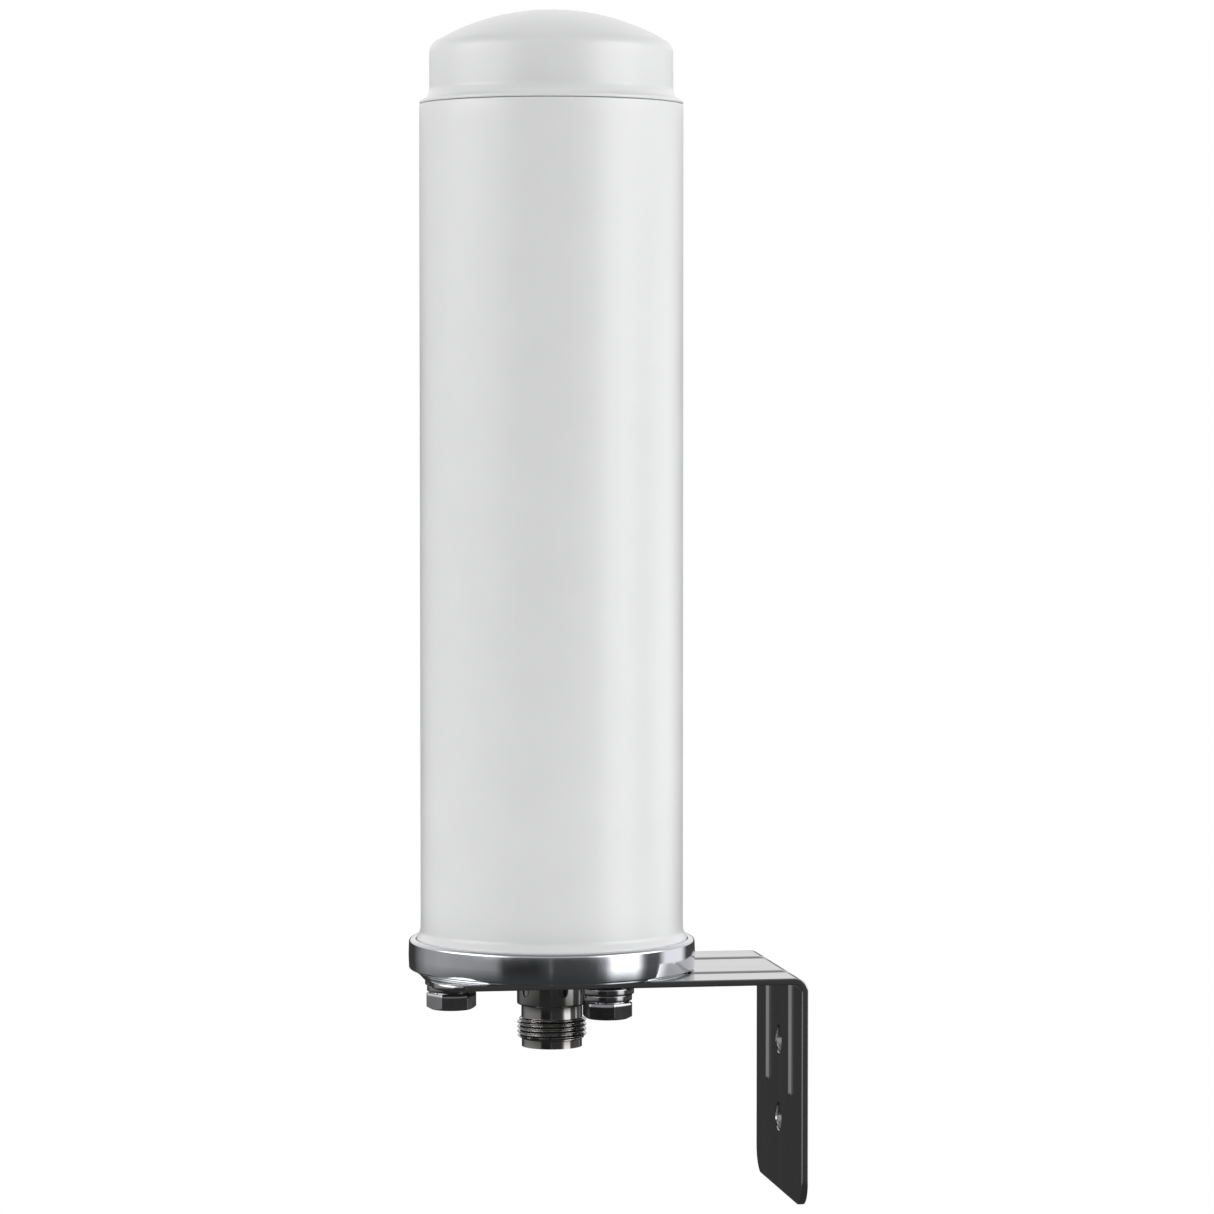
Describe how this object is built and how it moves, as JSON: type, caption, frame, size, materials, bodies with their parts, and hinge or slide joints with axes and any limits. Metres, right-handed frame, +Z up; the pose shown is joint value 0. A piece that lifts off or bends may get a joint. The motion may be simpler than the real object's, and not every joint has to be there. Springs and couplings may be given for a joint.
{
  "type": "omnidirectional antenna",
  "caption": "Outdoor omnidirectional antenna in a white radome on a plated base, with a threaded coaxial socket below and an L-shaped steel wall bracket.",
  "frame": {"origin": "on the bracket's wall face, on its centre line, half way between its two wall holes", "axes": "+X into the wall, away from the antenna; +Z up along the antenna; +Y to the left of someone who faces the wall"},
  "size_m": [0.0873, 0.0656, 0.2707],
  "materials": {
    "radome": "satin white moulded plastic",
    "base_chrome": "bright chrome plate on cast metal",
    "bracket_steel": "polished stainless sheet",
    "bolt_steel": "bright zinc-plated steel",
    "connector_plate": "dark bright nickel plate on brass",
    "gold_plate": "gold plate on brass",
    "copper": "bare copper",
    "solder": "tinned and soldered metal",
    "white_insulator": "PTFE",
    "board_laminate": "glass-fibre laminate with green solder mask",
    "nylon": "black moulded nylon",
    "rubber": "black rubber seal"
  },
  "bodies": {
    "antenna": {"base_plate": "base_chrome", "board_holder": "nylon", "board_nut_1": "bolt_steel", "board_nut_2": "bolt_steel", "board_screw_1": "bolt_steel", "board_screw_2": "bolt_steel", "centring_ring_lower": "nylon", "centring_ring_upper": "nylon", "circuit_board": "board_laminate", "coax_core": "copper", "coax_dielectric": "white_insulator", "coax_shield": "solder", "connector_body": "connector_plate", "connector_contact": "gold_plate", "connector_gasket": "rubber", "connector_insulator": "white_insulator", "connector_rear_cap": "connector_plate", "feed_solder": "solder", "flange_screw_1": "bolt_steel", "flange_screw_2": "bolt_steel", "flange_screw_3": "bolt_steel", "flange_screw_4": "bolt_steel", "holder_screw_1": "bolt_steel", "holder_screw_2": "bolt_steel", "matching_strip": "copper", "mounting_bracket": "bracket_steel", "radiator_lower": "copper", "radiator_upper": "copper", "radome_cap": "radome", "radome_o_ring": "rubber", "radome_tube": "radome", "shield_solder_lower": "solder", "shield_solder_upper": "solder"},
    "washers_1": {"flat_washer_1": "bolt_steel", "spring_washer_1": "bolt_steel"},
    "bolt_1": {"mount_bolt_1": "bolt_steel"},
    "washers_2": {"flat_washer_2": "bolt_steel", "spring_washer_2": "bolt_steel"},
    "bolt_2": {"mount_bolt_2": "bolt_steel"},
    "washers_3": {"flat_washer_3": "bolt_steel", "spring_washer_3": "bolt_steel"},
    "bolt_3": {"mount_bolt_3": "bolt_steel"}
  },
  "joints": [
    {"name": "bolt_1_travel", "type": "slide", "parent": "antenna", "child": "washers_1", "axis": [0, 0, -1], "range_m": [0, 0.009]},
    {"name": "bolt_1_turn", "type": "hinge", "parent": "washers_1", "child": "bolt_1", "pos_m": [-0.0777, 0, 0.0176], "axis": [0, 0, -1], "range_deg": [0, 3240]},
    {"name": "bolt_2_travel", "type": "slide", "parent": "antenna", "child": "washers_2", "axis": [0, 0, -1], "range_m": [0, 0.009]},
    {"name": "bolt_2_turn", "type": "hinge", "parent": "washers_2", "child": "bolt_2", "pos_m": [-0.04506, -0.02119, 0.0176], "axis": [0, 0, -1], "range_deg": [0, 3240]},
    {"name": "bolt_3_travel", "type": "slide", "parent": "antenna", "child": "washers_3", "axis": [0, 0, -1], "range_m": [0, 0.009]},
    {"name": "bolt_3_turn", "type": "hinge", "parent": "washers_3", "child": "bolt_3", "pos_m": [-0.04506, 0.02119, 0.0176], "axis": [0, 0, -1], "range_deg": [0, 3240]}
  ],
  "couplings": [
    {"joint": "bolt_1_turn", "follows": "bolt_1_travel", "rad_per_m": 6283.2},
    {"joint": "bolt_2_turn", "follows": "bolt_2_travel", "rad_per_m": 6283.2},
    {"joint": "bolt_3_turn", "follows": "bolt_3_travel", "rad_per_m": 6283.2}
  ]
}
